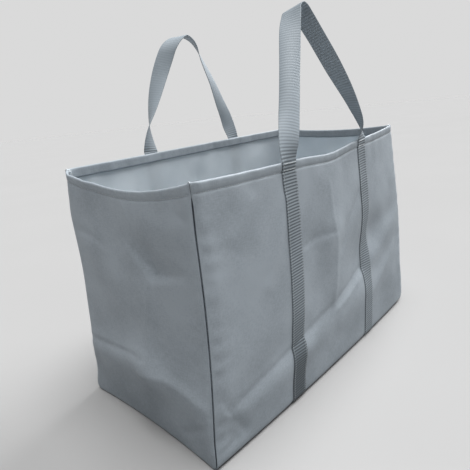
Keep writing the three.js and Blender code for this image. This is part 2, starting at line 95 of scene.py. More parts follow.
# Ribs: the power that rounds them, how far from the edge they start, and how high the selvage stands
# against them. The webbing turns under within this far of its edge, stands out there, and more so at a rib.
RIB_ROUND, RIB_START, SELVAGE_LEVEL = 0.6, 0.6, 0.4
EDGE_TURN, EDGE_OUT, EDGE_RIB = 0.3, 0.25, 0.12

# The weave comes loose from this far below the rim to this far above it, measured along the webbing.
LOOSE_BELOW, LOOSE_ABOVE = 4, 30

# How tight the weave of each handle loop is. At 1 its ribs would stand out as on a sewn strap.
LOOP_TIGHT = {"front": 0, "back": -0.4}

# How much painted shade darkens the two runs of each strap towards the floor, in the order in which the
# webbing goes round, and the heights between which it fades out.
LOW_SHADE = {"front": (1, 0.1), "back": (0.3, 0.3)}
LOW_SHADE_FADE = (25, 190)

# Stitches: length, thickness and pitch. The bars at the rim are dense zigzags, and each is drawn as one row
# of thick stitches. A stitch is fullest in the middle, and sinks in by a share of its thickness.
Stitch = namedtuple("Stitch", "long thick pitch")
HEM_STITCH, STRAP_STITCH, BAR_STITCH = Stitch(2.9, 0.4, 3.7), Stitch(2.9, 0.3, 3.9), Stitch(2.6, 1.1, 2.9)
STITCH_FORM = ((0, 0.45), (0.25, 1), (0.75, 1), (1, 0.45))
STITCH_TURNS = np.radians([45, 135, 225, 315])
STITCH_RADIUS, STITCH_SINK = 0.6, 0.15

# How far below the rim the bars lie, and how far in from the edges of the webbing they end.
BAR_DROPS, BAR_INSET = (2.5, 10.5), 2

# Soft blends, as in the solids, and how close to a seam the folds fade out and the hem's ends reach out.
DIP_REACH, CORNER_FADE, FLOOR_FADE = 60, 8, 30
SEAM_FADE, HEM_END = 8, 14

# Unevenness of the cloth: broad and fine waves, puckers along the seams, ruffles along the rim, wrinkles
# in the hem and the groove of its stitches. Each has its height and wave length, the reach over which it
# dies away, and how close to the seams (edge) and to the floor (foot) it fades out.
WAVE_HEIGHT, WAVE_LENGTH, WAVE_EDGE, WAVE_FOOT = 0.4, 120, 30, 40
FINE_WAVE_HEIGHT, FINE_WAVE_LENGTH = 0.12, 48
PUCKER_HEIGHT, PUCKER_LENGTH, PUCKER_REACH, PUCKER_EDGE, PUCKER_FOOT = 0.7, 21, 15, 9, 30
RUFFLE_LENGTH, RUFFLE_REACH, RUFFLE_EDGE = 36, 35, 25
WRINKLE_HEIGHT, WRINKLE_LENGTH, WRINKLE_EDGE = 0.2, 16, (3, 20)
GROOVE_DEPTH, GROOVE_WIDTH, GROOVE_EDGE = 1.1, 1.5, 8

# Puckers and ruffles are drawn out across the seam and the rim, and the hem's wrinkles slant.
PUCKER_DRAW, RUFFLE_DRAW, WRINKLE_SLANT = 0.25, 0.2, 0.6

# How far a crease runs out past its ends.
CREASE_END = 20

# A corner's place at the rim, how far its seam bows between floor and rim, how far it flares at the rim,
# its radius in plan there, and how far its foot bulges above the floor and tucks in at it.
Corner = namedtuple("Corner", "base rim bow flare radius bulge tuck", defaults=((0, 0), 14, 0, 0))
CORNERS = {
    "front_left": Corner((-1, -1), (-293, -159, 378), (6, -2)),
    "front_right": Corner((1, -1), (290, -126, 388), (10, -3), bulge=6, tuck=16),
    "back_left": Corner((-1, 1), (-277, 140, 384), (-1, 2), (-9, 8), radius=28),
    "back_right": Corner((1, 1), (291, 152, 392), (6, 3)),
}

# A soft fold runs from (along, up) to (to_along, to_up). A positive height stands out.
Fold = namedtuple("Fold", "along up to_along to_up width height")
FRONT_FOLDS = [
    Fold(-250, 56, -100, 78, 24, 2),
    Fold(-250, 92, -100, 112, 22, -1.5),
    Fold(-100, 80, 90, 96, 28, 1.8),
    Fold(-100, 114, 95, 142, 24, -1.5),
    Fold(-12, 150, -14, 250, 26, 2.5),
    Fold(-12, 262, -12, 345, 44, 4),
    Fold(-70, 170, -60, 245, 34, -3),
    Fold(96, 172, 150, 198, 48, -11),
    Fold(118, 285, 128, 335, 40, -2.5),
    Fold(150, 158, 285, 214, 22, 2.6),
    Fold(146, 121, 278, 158, 20, -1.8),
    Fold(150, 206, 270, 228, 20, -1.5),
    Fold(-286, 66, -262, 34, 22, -4),
    Fold(-288, 88, -276, 80, 6, 2),
    Fold(-288, 76, -264, 64, 6, 2.4),
]
BACK_FOLDS = [
    Fold(-230, 66, 90, 92, 26, 3),
    Fold(-230, 98, 90, 126, 24, -3),
    Fold(-6, 140, -6, 320, 26, 3),
    Fold(200, 330, 150, 200, 30, -4),
    Fold(-190, 320, -220, 200, 28, -4),
]
LEFT_FOLDS = [
    Fold(139, 92, -24, 106, 32, 7),
    Fold(-24, 112, -138, 86, 32, 7),
    Fold(-50, 336, -112, 326, 28, 3),
    Fold(-14, 350, -34, 160, 22, 2),
    Fold(90, 270, 40, 230, 44, 3),
]
RIGHT_FOLDS = [
    Fold(-130, 88, 10, 108, 34, 5),
    Fold(10, 108, 130, 84, 34, 5),
    Fold(4, 150, 10, 330, 26, -5),
]

# A sharp crease follows a line of (along, up) places. Its two slopes are as wide as given on its left and
# right, seen along the line from outside, and taper is the share of them that is left at its end.
Crease = namedtuple("Crease", "line left right height taper", defaults=(1,))
FRONT_CREASES = [
    Crease([(-250, 78), (-140, 97), (-60, 112), (-13, 121), (37, 133), (100, 144)], 14, 26, -2.2, 0.8),
    Crease([(0, 107), (52, 118), (98, 128)], 8, 16, 1.4),
    Crease([(-13, 123), (-8, 185), (-6, 236), (-14, 263), (-18, 333)], 16, 16, 1.7, 0.5),
    Crease([(-14, 252), (-56, 253), (-92, 248)], 12, 24, -1.6, 0.7),
    Crease([(92, 291), (48, 255), (13, 215)], 20, 16, -1.5),
    Crease([(144, 80), (195, 111), (248, 142)], 26, 26, 1.2),
    Crease([(-135, 330), (-160, 270), (-185, 218)], 30, 24, 1.6),
    Crease([(-288, 98), (-262, 56), (-245, 30)], 18, 12, -3),
    Crease([(-297, 24), (-283, 22), (-248, 23)], 11, 7, -2.4, 0.5),
    Crease([(-292, 79), (-262, 84)], 6, 6, -1.3, 0.5),
    Crease([(-292, 101), (-266, 97)], 6, 6, 1.3, 0.5),
    Crease([(-290, 149), (-268, 155)], 6, 6, -1.1, 0.5),
    Crease([(-240, 300), (-205, 345)], 30, 30, 1.4),
]
BACK_CREASES = [
    Crease([(-230, 84), (-40, 104), (90, 112)], 14, 26, -2, 0.7),
    Crease([(-6, 118), (-6, 320)], 16, 16, 1.6, 0.6),
    Crease([(240, 240), (160, 120)], 14, 22, -1.6, 0.6),
    Crease([(-230, 300), (-170, 220)], 18, 12, 1.6, 0.6),
]
LEFT_CREASES = [
    Crease([(-9, 360), (-29, 317), (-46, 267), (-40, 224), (-30, 183), (-32, 138)], 9, 9, 1.1),
    Crease([(133, 297), (91, 295), (63, 289)], 14, 22, -1.8, 0.5),
    Crease([(-126, 343), (-138, 336)], 8, 8, -1.2),
    Crease([(146, 106), (102, 112), (53, 117), (17, 121), (-16, 125)], 20, 8, -2.6, 0.6),
    Crease([(-7, 96), (-39, 103), (-63, 108), (-106, 103), (-142, 89)], 24, 16, 2.4),
    Crease([(-90, 30), (-140, 62)], 14, 12, -2),
]
RIGHT_CREASES = [
    Crease([(-130, 100), (10, 122), (130, 92)], 12, 22, 2),
    Crease([(6, 140), (10, 330)], 16, 16, -1.8),
]

# A dent is a flat three-sided facet, pushed in at its deep corner. Beyond that corner's two edges the cloth
# comes back out within its slope.
Dent = namedtuple("Dent", "start deep end depth slope")
LEFT_DENTS = [
    Dent((-46, 314), (-54, 262), (-138, 273), 8.5, 15),
    Dent((-18, 353), (-46, 272), (10, 318), 5, 13),
]

# How far each wall swells at mid-height and at the rim, draws in at the floor (a minus spreads it), sags
# and ruffles at the rim.
Wall = namedtuple(
    "Wall",
    "start end out half belly rim_out foot_in foot_reach sag dip ruffle folds creases seed dents",
    defaults=((),),
)
WALLS = {
    "front": Wall("front_left", "front_right", (0, -1), HALF_LENGTH, 4, 11, -6, 120, 8, 5, 0.5,
                  FRONT_FOLDS, FRONT_CREASES, 11),
    "back": Wall("back_left", "back_right", (0, 1), HALF_LENGTH, 4, 13, -6, 120, 1, 0, 0.7,
                 BACK_FOLDS, BACK_CREASES, 23),
    "left": Wall("front_left", "back_left", (-1, 0), HALF_WIDTH, 3, 2, 6, 60, 19, 0, 0.7,
                 LEFT_FOLDS, LEFT_CREASES, 37, LEFT_DENTS),
    "right": Wall("front_right", "back_right", (1, 0), HALF_WIDTH, 3, 3, 5, 60, 7, 0, 1.4,
                  RIGHT_FOLDS, RIGHT_CREASES, 41),
}

# Bends of each handle loop above the rim, along its legs and at its tip, and how it leans, sways and bows.
Handle = namedtuple("Handle", "foot_radius leg_angle tip_radius lean sway bow")
HANDLES = {
    "front": Handle(90, 29.2, 14, 17, 13, 8),
    "back": Handle(110, 28, 36, 2, -9, 13),
}

# How each handle leg turns and strays at a share of its length: 90 degrees is flat on the wall and 0 square
# across the tip, aside is along X, outward is away from the bag, and rise is up. A first turn of -90 turns
# the webbing over, so that the loop has half a twist.
Leg = namedtuple("Leg", "share turn aside outward rise")
LEGS = {
    ("front", "left"): [
        Leg(0, 90, 0, 0, 0), Leg(0.12, 68, 2, 3.5, -0.7), Leg(0.3, 52, 1.7, 1.6, -1.4),
        Leg(0.55, 45, 0.3, 1.1, -0.2), Leg(0.8, 28, -0.7, 3.2, 0.4), Leg(1, 0, 1.2, 8.2, -1.5),
    ],
    ("front", "right"): [
        Leg(0, 90, 0, 0, 0), Leg(0.12, 53, 0.8, 6, -2.4), Leg(0.3, 30, 0.5, 7.8, -0.5),
        Leg(0.55, 8, 0.5, 6.9, 0.2), Leg(0.8, 8, 1.3, 7, 0.6), Leg(1, 0, 1.2, 8.2, -1.5),
    ],
    ("back", "left"): [
        Leg(0, 90, 0, 0, 0), Leg(0.12, 60, 1.1, -0.4, -0.9), Leg(0.3, 18, 0, -0.1, -0.8),
        Leg(0.55, -21, -1.3, 1.9, -2.6), Leg(0.8, -34, -3.9, 3.2, -9), Leg(1, 0, -0.4, -3, 0),
    ],
    ("back", "right"): [
        Leg(0, -90, 0, 0, 0), Leg(0.12, -98, -0.7, 0.6, 0.4), Leg(0.3, -84, 3.6, -3.2, 0.1),
        Leg(0.55, -63, 6.7, -7.8, -0.9), Leg(0.8, -43, 5, -4.7, -2.6), Leg(1, 0, -0.4, -3, 0),
    ],
}

# How deeply each leg is cupped across its width. The cup comes and goes a little faster than the leg runs,
# so that the tip is flat. It is level at this share of its depth, and each millimetre of it narrows the
# webbing by this share.
LEG_CUPS = {("front", "left"): 5, ("front", "right"): 1.5, ("back", "left"): 1.2, ("back", "right"): 1.2}
CUP_PACE, CUP_LEVEL, CUP_NARROWING = 1.15, 0.4, 0.02

# Camera: its place, its tilt, roll and heading in degrees, and its film and lens.
CAMERA_PLACE, CAMERA_TURNS = (-570.14, -487.86, 443.66), (73.48174, 5.51724, -47.37355)
FILM_WIDTH, LENS = 36, 31.84

# Broad lights: the strength of each one and where it shines from, in metres. Its breadth is in degrees.
LIGHTS = {"overhead_light": (5.0, (0, -0.42, 3)), "side_light": (4.2, (2.1, -0.25, 2.1))}
LIGHT_BREADTH, LIT_POINT = 40, (0, 0, 0.2)

# The floor's size and how far it lies below the bag, in metres.
FLOOR_SIZE, FLOOR_DROP = 60, 0.0005


def ease(value, low, high):
    """A smooth step from 0 at low to 1 at high."""
    share = np.clip((np.asarray(value, float) - low) / (high - low), 0, 1)
    return share * share * (3 - 2 * share)


def ripple(along, up, length, seed):
    """Even cloth waviness of about the given wave length, from a few seeded waves."""
    chance = np.random.default_rng(seed)
    count = 7
    height = 0
    for turn, stretch, phase in chance.uniform((0, 0.7, 0), (math.pi, 1.5, 2 * math.pi), (count, 3)):
        across = along * math.cos(turn) + up * math.sin(turn)
        height = height + np.sin(2 * math.pi * across / (length * stretch) + phase)
    return height / math.sqrt(count)


def fold_height(folds, along, up):
    """How far a wall's soft folds move the point (along, up) outward."""
    height = np.zeros(np.shape(along))
    for fold in folds:
        run = (fold.to_along - fold.along, fold.to_up - fold.up)
        share = ((along - fold.along) * run[0] + (up - fold.up) * run[1]) / (run[0] ** 2 + run[1] ** 2)
        share = np.clip(share, 0, 1)
        away = np.hypot(along - fold.along - share * run[0], up - fold.up - share * run[1]) / fold.width
        height += fold.height * np.exp(-away ** 2)
    return height


def crease_height(creases, along, up):
    """How far a wall's sharp creases move the point (along, up) outward."""
    height = np.zeros(np.shape(along))
    for crease in creases:
        line = np.array(crease.line, float)
        steps = np.hypot(*np.diff(line, axis=0).T)
        nearest = np.ones(np.shape(along))
        kept = np.ones(np.shape(along))
        for k, step in enumerate(steps):
            run = (line[k + 1] - line[k]) / step
            forward = (along - line[k][0]) * run[0] + (up - line[k][1]) * run[1]
            aside = (up - line[k][1]) * run[0] - (along - line[k][0]) * run[1]
            share = (steps[:k].sum() + np.clip(forward, 0, step)) / steps.sum()
            left_over = 1 - share * (1 - crease.taper)
            slope = np.where(aside > 0, crease.left, crease.right) * left_over
            past = np.maximum(np.maximum(-forward, forward - step), 0) / CREASE_END
            away = np.hypot(aside / slope, past)
            kept = np.where(away < nearest, left_over, kept)
            nearest = np.minimum(nearest, away)
        height += crease.height * kept * (1 - nearest) ** 2
    return height


def dent_depth(dents, along, up):
    """How far a wall's dents move the point (along, up) inward."""
    depth = np.zeros(np.shape(along))
    for dent in dents:
        place = np.stack(np.broadcast_arrays(along, up), axis=-1)
        deep = np.array(dent.deep, float)
        sides = np.array([deep - dent.start, np.subtract(dent.end, dent.start)]).T
        shares = (place - dent.start) @ np.linalg.inv(sides).T
        inside = (shares.min(axis=-1) >= 0) & (shares.sum(axis=-1) <= 1)
        beside = 0
        for tip in (dent.start, dent.end):
            run = deep - tip
            share = np.clip((place - tip) @ run / (run @ run), 0, 1)
            away = np.linalg.norm(place - tip - share[..., None] * run, axis=-1)
            beside = np.maximum(beside, share * np.clip(1 - away / dent.slope, 0, 1) ** 2)
        depth += dent.depth * np.where(inside, shares[..., 0], beside)
    return depth


def corner_point(name, w):
    """A point on a corner seam at height share w."""
    corner = CORNERS[name]
    foot = np.array([corner.base[0] * HALF_LENGTH, corner.base[1] * HALF_WIDTH, EDGE_RADIUS])
    swing = np.sin(math.pi * w)[..., None] * np.array([*corner.bow, 0])
    return foot + (np.array(corner.rim) - foot) * w[..., None] + swing


def rounded_corners(points):
    """The same points with the bag's four corners drawn in, so that they are softly round in plan."""
    points = np.array(points, float)
    for name, corner in CORNERS.items():
        rim = corner.rim[2]
        w = np.clip((points[:, 2] - EDGE_RADIUS) / (rim - EDGE_RADIUS), 0, 1)
        away = np.abs(points[:, :2] - corner_point(name, w)[:, :2])
        rounding = ease(points[:, 2], *(rim - below for below in ROUND_BELOW))
        radius = SHARP_RADIUS + corner.radius * rounding
        bend = np.clip(1 - np.abs(away[:, 0] - away[:, 1]) / radius, 0, 1) ** 2
        draw = radius / 4 * bend * (1 - ease(away.min(axis=1), *ROUND_FADE))
        points[:, :2] -= draw[:, None] * np.array(corner.base)
        full = ease(rim - points[:, 2], *SHOULDER_BELOW) * ease(points[:, 2], EDGE_RADIUS, SHOULDER_FOOT)
        for axis, (depth, reach) in ((1, MAIN_SHOULDER), (0, END_SHOULDER)):
            curl = np.clip(1 - away[:, 1 - axis] / reach, 0, 1) ** 2
            curl *= 1 - ease(away[:, axis], *SHOULDER_FADE)
            points[:, axis] -= full * depth * curl * corner.base[axis]
        height = points[:, 2]
        foot = corner.bulge * np.exp(-((height - BULGE_HEIGHT) / BULGE_SPREAD) ** 2)
        foot -= corner.tuck * np.clip(1 - height / TUCK_HEIGHT, 0, 1) ** 2
        points[:, 0] += corner.base[0] * foot * np.exp(-(away ** 2).sum(axis=1) / FOOT_REACH ** 2)
        near_rim = ease(w, FLARE_START, 1) * np.exp(-(away ** 2).sum(axis=1) / FLARE_REACH ** 2)
        points[:, :2] += near_rim[:, None] * np.array(corner.flare)
    return points


def hem_swell(w):
    """How far the turned-over cloth stands out at height share w: from the stitch line up to the rim."""
    return HEM_SWELL * np.sin(math.pi / 2 * np.clip(1 - (1 - w) * WALL_HEIGHT / HEM_SEWN, 0, 1))


def cloth_relief(wall, s, along, up, w):
    """Waves, seam puckers, rim ruffles and the stitched hem line of a wall."""
    edge = (1 - np.abs(s)) * wall.half
    below = (1 - w) * WALL_HEIGHT
    waves = WAVE_HEIGHT * ripple(along, up, WAVE_LENGTH, wall.seed)
    waves = waves + FINE_WAVE_HEIGHT * ripple(along, up, FINE_WAVE_LENGTH, wall.seed + 1)
    open_cloth = ease(edge, 0, WAVE_EDGE) * ease(up, EDGE_RADIUS, WAVE_FOOT)
    puckers = ripple(up, edge * PUCKER_DRAW, PUCKER_LENGTH, wall.seed + 2)
    puckers = puckers * np.exp(-edge / PUCKER_REACH) * ease(edge, ROLL_REACH, PUCKER_EDGE)
    ruffles = ripple(along, up * RUFFLE_DRAW, RUFFLE_LENGTH, wall.seed + 3)
    ruffles = ruffles * np.exp(-below / RUFFLE_REACH) * ease(edge, 0, RUFFLE_EDGE)
    wrinkles = ripple(along + WRINKLE_SLANT * below, below, WRINKLE_LENGTH, wall.seed + 4)
    wrinkles = wrinkles * hem_swell(w) * ease(edge, *WRINKLE_EDGE)
    groove = np.exp(-((below - HEM_SEWN) / GROOVE_WIDTH) ** 2) * ease(edge, ROLL_REACH, GROOVE_EDGE)
    relief = waves * open_cloth + PUCKER_HEIGHT * puckers * ease(up, EDGE_RADIUS, PUCKER_FOOT)
    relief = relief + wall.ruffle * ruffles
    return relief + hem_swell(w) + WRINKLE_HEIGHT * wrinkles - GROOVE_DEPTH * groove


def wall_point(side, s, w, lift=0.0):
    """A point on the outside of a wall: s runs from -1 to 1 between corners, w from floor edge to rim."""
    wall = WALLS[side]
    s, w, lift = np.broadcast_arrays(*(np.asarray(value, float) for value in (s, w, lift)))
    share = ((s + 1) / 2)[..., None]
    point = corner_point(wall.start, w) * (1 - share) + corner_point(wall.end, w) * share
    point[..., 2] += lift
    up = point[..., 2].copy()
    along = s * wall.half
    crown = 1 - s * s
    from_seam = (1 - np.abs(s)) * wall.half
    fade = (1 - np.abs(s) ** CORNER_FADE) * ease(up, 0, FLOOR_FADE)
    fade = fade * ease(from_seam, ROLL_REACH, SEAM_FADE)
    out = wall.belly * crown * np.sin(math.pi * w) + wall.rim_out * crown * w * w
    out -= wall.foot_in * crown * np.exp(-np.maximum(up - EDGE_RADIUS, 0) / wall.foot_reach)
    shape = fold_height(wall.folds, along, up) + crease_height(wall.creases, along, up)
    out += (shape - dent_depth(wall.dents, along, up)) * fade
    out += cloth_relief(wall, s, along, up, w)
    sag = wall.sag * crown + wall.dip * np.exp(-(along / DIP_REACH) ** 2)
    # At its ends the hem reaches out as far as it swells, so that two hems meet at the corner.
    reach = np.sign(s) * hem_swell(w) * (1 - ease(from_seam, ROLL_REACH, HEM_END))
    point[..., 0] += wall.out[0] * out + abs(wall.out[1]) * reach
    point[..., 1] += wall.out[1] * out + abs(wall.out[0]) * reach
    point[..., 2] -= sag * w * w
    return point


def wall_heights():
    """Height shares of a wall's rows, from floor edge to the rim's roll, crowded at the stitch line."""
    near_rim = [26, 21, 17, 15, 13.8, 12.5, 11.2, 9.5, 7, 4.5, HEM_ROLL]
    count = int((WALL_HEIGHT - near_rim[0]) / CLOTH_STEP)
    low = np.linspace(0, WALL_HEIGHT - near_rim[0], count, endpoint=False)
    return np.concatenate([low, WALL_HEIGHT - np.array(near_rim)]) / WALL_HEIGHT


def seam_roll(w):
    """Radius of the rolled seam edge at height share w: it is pressed flat under the hem."""
    return SEAM_ROLL + (HEM_SEAM_ROLL - SEAM_ROLL) * float(ease((1 - w) * WALL_HEIGHT, *HEM_PRESS))


def hem_profile():
    """How far in and up the cloth goes over the rim and down inside: a roll, then the turned-down band."""
    turns = np.radians([30, 60, 90, 120, 150, 180])
    roll = [((1 - math.cos(turn)) * HEM_ROLL, math.sin(turn) * HEM_ROLL) for turn in turns]
    return roll + [(2 * HEM_ROLL, -drop) for drop in (3, 7, 11, HEM_DEPTH)]


def seam_edge(start, along, inward, roll):
    """Points that roll one panel's edge round into a seam and on to its cut edge."""
    sideways = (along - inward) / math.sqrt(2) * SEWN_GAP / 2
    start = start - along * (ROLL_REACH - SEAM_REACH * roll)
    points = []
    for turn in ROLL_TURNS:
        place = start + inward * roll * (1 - math.cos(turn)) - along * roll * math.sin(turn)
        points.append(place + sideways)
    diagonal = (along + inward) / math.sqrt(2)
    sewn = points[-1] - along * SEAM_GAPE * roll
    return points + [sewn + diagonal * SEAM_ALLOWANCE * share for share in (0.5, 1)]


def hem_corner(start, along, inward, reach, rise):
    """Points that close one row of the hem at its end, mitred on the corner's diagonal."""
    over = np.array([0, 0, rise])
    rolled = seam_edge(start, along, inward, HEM_SEAM_ROLL)
    return [point + (inward + along * share) * reach + over for point, share in zip(rolled, ROLL_SHARES)]


class Cloth:
    """Collects the outer face of a cut panel as numbered points and four-sided faces."""

    def __init__(self):
        self.points, self.flat, self.faces = [], [], []

    def add(self, point, flat):
        self.points.append(point)
        self.flat.append(flat)
        return len(self.points) - 1

    def weave(self, rows, turned=False):
        """Faces between neighbouring rows of point numbers."""
        for here, below in zip(rows, rows[1:]):
            for k in range(len(here) - 1):
                face = (here[k], below[k], below[k + 1], here[k + 1])
                self.faces.append(face[::-1] if turned else face)


def finished_mesh(name, points, faces, flat, *materials):
    """An object from points in millimetres, with the flat pattern as its UV map in metres."""
    mesh = bpy.data.meshes.new(name)
    mesh.from_pydata((rounded_corners(points) * MM).tolist(), [], [tuple(f) for f in faces])
    pattern = mesh.uv_layers.new(name="Pattern")
    corners = np.empty(len(mesh.loops), dtype=np.int32)
    mesh.loops.foreach_get("vertex_index", corners)
    pattern.data.foreach_set("uv", (np.asarray(flat, dtype=np.float32) * MM)[corners].ravel())
    mesh.polygons.foreach_set("use_smooth", [True] * len(mesh.polygons))
    for material in materials:
        mesh.materials.append(material)
    mesh.validate()
    piece = bpy.data.objects.new(name, mesh)
    bpy.context.scene.collection.objects.link(piece)
    return piece


def thicken(piece, thickness):
    """Gives a panel its thickness, towards the inside, with its second material on the inner face."""
    body = piece.modifiers.new("cloth_thickness", "SOLIDIFY")
    body.thickness = thickness * MM
    body.offset = -1
    body.material_offset = 1
    return piece


def panel_columns():
    """Places along the main panel, closer together at the seams and at the strap edges."""
    seam = HALF_LENGTH - ROLL_REACH
    near, close = seam - 32, seam - 8
    beside = [6, 12, 16, 16.5, 18, 20, 22]
    strap = [STRAP_PLACE - k for k in beside[::-1]] + [STRAP_PLACE] + [STRAP_PLACE + k for k in beside]
    middle = np.linspace(0, strap[0], 25)[:-1]
    side = np.linspace(strap[-1], near, 31)[1:]
    shoulder = np.linspace(near, close, 11)[1:]
    half = [*middle, *strap, *side, *shoulder, seam - 5, seam - 2.5, seam]
    return np.array([-x for x in half[:0:-1]] + half)


def channel(x):
    """How deep the base cloth is pressed in under the straps."""
    away = np.abs(np.abs(x) - STRAP_PLACE) - WEBBING_WIDTH / 2
    return CHANNEL_DEPTH * (1 - ease(away, 0.3, CHANNEL_EDGE))


def edge_point(side, x, angle):
    """The rounded bottom edge of the main panel: angle 0 is on the base and 90 degrees on the wall."""
    wall = WALLS[side]
    normal = np.array([0, wall.out[1] * math.sin(angle), -math.cos(angle)])
    reach = FLAT_WIDTH - wall.foot_in * (1 - (x / HALF_LENGTH) ** 2)
    centre = np.stack([x, wall.out[1] * reach, np.full(len(x), EDGE_RADIUS)], axis=1)
    pressed = channel(x) * math.cos(angle)
    return centre + normal * (EDGE_RADIUS - pressed)[:, None], -normal


def base_point(x, y):
    """The base of the main panel, drawn in at both ends as the end walls are."""
    s = x / HALF_LENGTH
    draw = np.where(s < 0, WALLS["left"].foot_in, WALLS["right"].foot_in)
    inset = draw * (1 - (y / FLAT_WIDTH) ** 2) * np.abs(s) ** CORNER_FADE
    return np.stack([x - np.sign(x) * inset, np.full(len(x), y), channel(x)], axis=1)


def make_main_panel(*materials):
    """Front, base and back in one length of cloth, with its side edges turned in and both rims hemmed."""
    x = panel_columns()
    up = np.array([0, 0, 1.0])
    rows = []
    for side in ("front", "back"):
        inward = np.array([0, -WALLS[side].out[1], 0.0])
        grid = wall_point(side, x[None, :] / HALF_LENGTH, wall_heights()[:, None])
        wall = [(points, inward, seam_roll(w), None) for points, w in zip(grid, wall_heights())]
        hem = [(grid[-1], inward, HEM_SEAM_ROLL, over) for over in hem_profile()]
        bend = [(*edge_point(side, x, angle), SEAM_ROLL, None) for angle in BEND_TURNS]
        half = bend + wall + hem
        rows += half[::-1] if side == "front" else half
        if side == "front":
            places = np.linspace(-FLAT_WIDTH, FLAT_WIDTH, BASE_ROWS)[1:-1]
            rows += [(base_point(x, y), up, SEAM_ROLL, None) for y in places]
    cloth = Cloth()
    woven, sewn = [], []
    fall = 0
    last = None
    for points, inward, roll, over in rows:
        edges = []
        for end, sign in ((0, 1), (-1, -1)):
            along = np.array([sign, 0, 0.0])
            if over:
                turned_in = hem_corner(points[end], along, inward, *over)
            else:
                turned_in = seam_edge(points[end], along, inward, roll)
            edges.append((turned_in, x[end], sign))
        if over:
            points = points + inward * over[0] + up * over[1]
        middle = points[len(x) // 2]
        fall += 0 if last is None else np.linalg.norm(middle - last)
        last = middle
        left, right = [
            [cloth.add(p, (place - sign * (k + 1), fall)) for k, p in enumerate(corner)]
            for corner, place, sign in edges
        ]
        body = [cloth.add(p, (place, fall)) for p, place in zip(points, x)]
        rolled = len(ROLL_TURNS)
        woven.append(left[:rolled][::-1] + body + right[:rolled])
        if not over:
            sewn.append((left[rolled - 1:][::-1], right[rolled - 1:]))
    cloth.weave(woven)
    cloth.weave([left for left, _ in sewn])
    cloth.weave([right for _, right in sewn])
    panel = finished_mesh("main_panel_cloth", cloth.points, cloth.faces, cloth.flat, *materials)
    return thicken(panel, CLOTH)


def make_end_panel(side, *materials):
    """An end panel: its side and floor edges are rolled into the seam, and its rim is hemmed."""
    out = WALLS[side].out[0]
    inward = np.array([-out, 0, 0.0])
    even = np.linspace(-1, 1, END_COLUMNS)
    crowding = 0.25
    spread = np.sin(even * math.pi / 2) * crowding + even * (1 - crowding)
    middle = END_COLUMNS // 2
    bend = EDGE_RADIUS - ROLL_REACH
    rows, sides, rolls = [], [], []
    for angle in BEND_TURNS:
        reach = FLAT_WIDTH + bend * math.sin(angle)
        rows.append(wall_point(side, spread * reach / HALF_WIDTH, 0, -bend * math.cos(angle)))
        sides.append(np.array([0, math.sin(angle), math.cos(angle)]))
        rolls.append(SEAM_ROLL)
    for w in wall_heights():
        rows.append(wall_point(side, spread * (1 - ROLL_REACH / HALF_WIDTH), w))
        sides.append(np.array([0, 1.0, 0]))
        rolls.append(seam_roll(w))
    cloth = Cloth()
    numbered = []
    rise = 0
    for k, points in enumerate(rows):
        rise += 0 if k == 0 else np.linalg.norm(points[middle] - rows[k - 1][middle])
        numbered.append([cloth.add(p, (p[1], rise)) for p in points])
    cloth.weave(numbered, turned=out > 0)
    top = len(rows) - 1
    chain = [(numbered[k][0], rows[k][0], sides[k], rolls[k]) for k in range(top, 0, -1)]
    up = np.array([0, 0, 1.0])
    chain += [(number, point, up, SEAM_ROLL) for number, point in zip(numbered[0], rows[0])]
    chain += [(numbered[k][-1], rows[k][-1], sides[k] * (1, -1, 1), rolls[k]) for k in range(1, top + 1)]
    edges = []
    for number, point, along, roll in chain:
        rolled_in = seam_edge(point, along, inward, roll)
        flat = [(p[1], p[2] - EDGE_RADIUS / 2 - k) for k, p in enumerate(rolled_in)]
        edges.append([number] + [cloth.add(p, place) for p, place in zip(rolled_in, flat)])
    cloth.weave(edges, turned=out > 0)
    rolled = len(ROLL_TURNS)
    hem = [edges[0][rolled:0:-1] + numbered[top] + edges[-1][1:rolled + 1]]
    for reach, lift in hem_profile():
        front = hem_corner(rows[top][0], sides[top], inward, reach, lift)
        back = hem_corner(rows[top][-1], -sides[top], inward, reach, lift)
        line = [*front[::-1], *(rows[top] + inward * reach + np.array([0, 0, lift])), *back]
        hem.append([cloth.add(p, (p[1], rise + reach - min(lift, 0))) for p in line])
    cloth.weave(hem, turned=out > 0)
    panel = finished_mesh(f"end_panel_{side}_cloth", cloth.points, cloth.faces, cloth.flat, *materials)
    return thicken(panel, CLOTH)


def strap_run(side, strap, across, turned_over=False):
    """Webbing on the cloth, from mid-base to rim: points of its under face and outward directions."""
    out = WALLS[side].out[1]
    inside = math.copysign(1, strap if turned_over else -strap)
    x = strap + inside * across
    under, facing = [], []
    for y in np.linspace(SEWN_GAP / 2, FLAT_WIDTH, UNDER_ROWS)[:-1]:
        under.append(base_point(x, out * y))
        facing.append((0, 0, -1))
    for angle in BEND_TURNS:
        points, inward = edge_point(side, x, angle)
        under.append(points)
        facing.append(-inward)
    for w in [*wall_heights(), 1]:
        points = wall_point(side, x / HALF_LENGTH, w)
        middle = wall_point(side, strap / HALF_LENGTH, w)
        points[:, 0] = middle[0] + x - strap
        under.append(points)
        facing.append((0, out, 0))
    facing = np.array(facing, float)
    lift = SEWN_GAP + (WEBBING_THICKNESS if turned_over else 0)
    lifted = np.array(under) + (facing * lift)[:, None, :]
    return lifted, np.repeat((-facing if turned_over else facing)[:, None, :], len(across), axis=1)


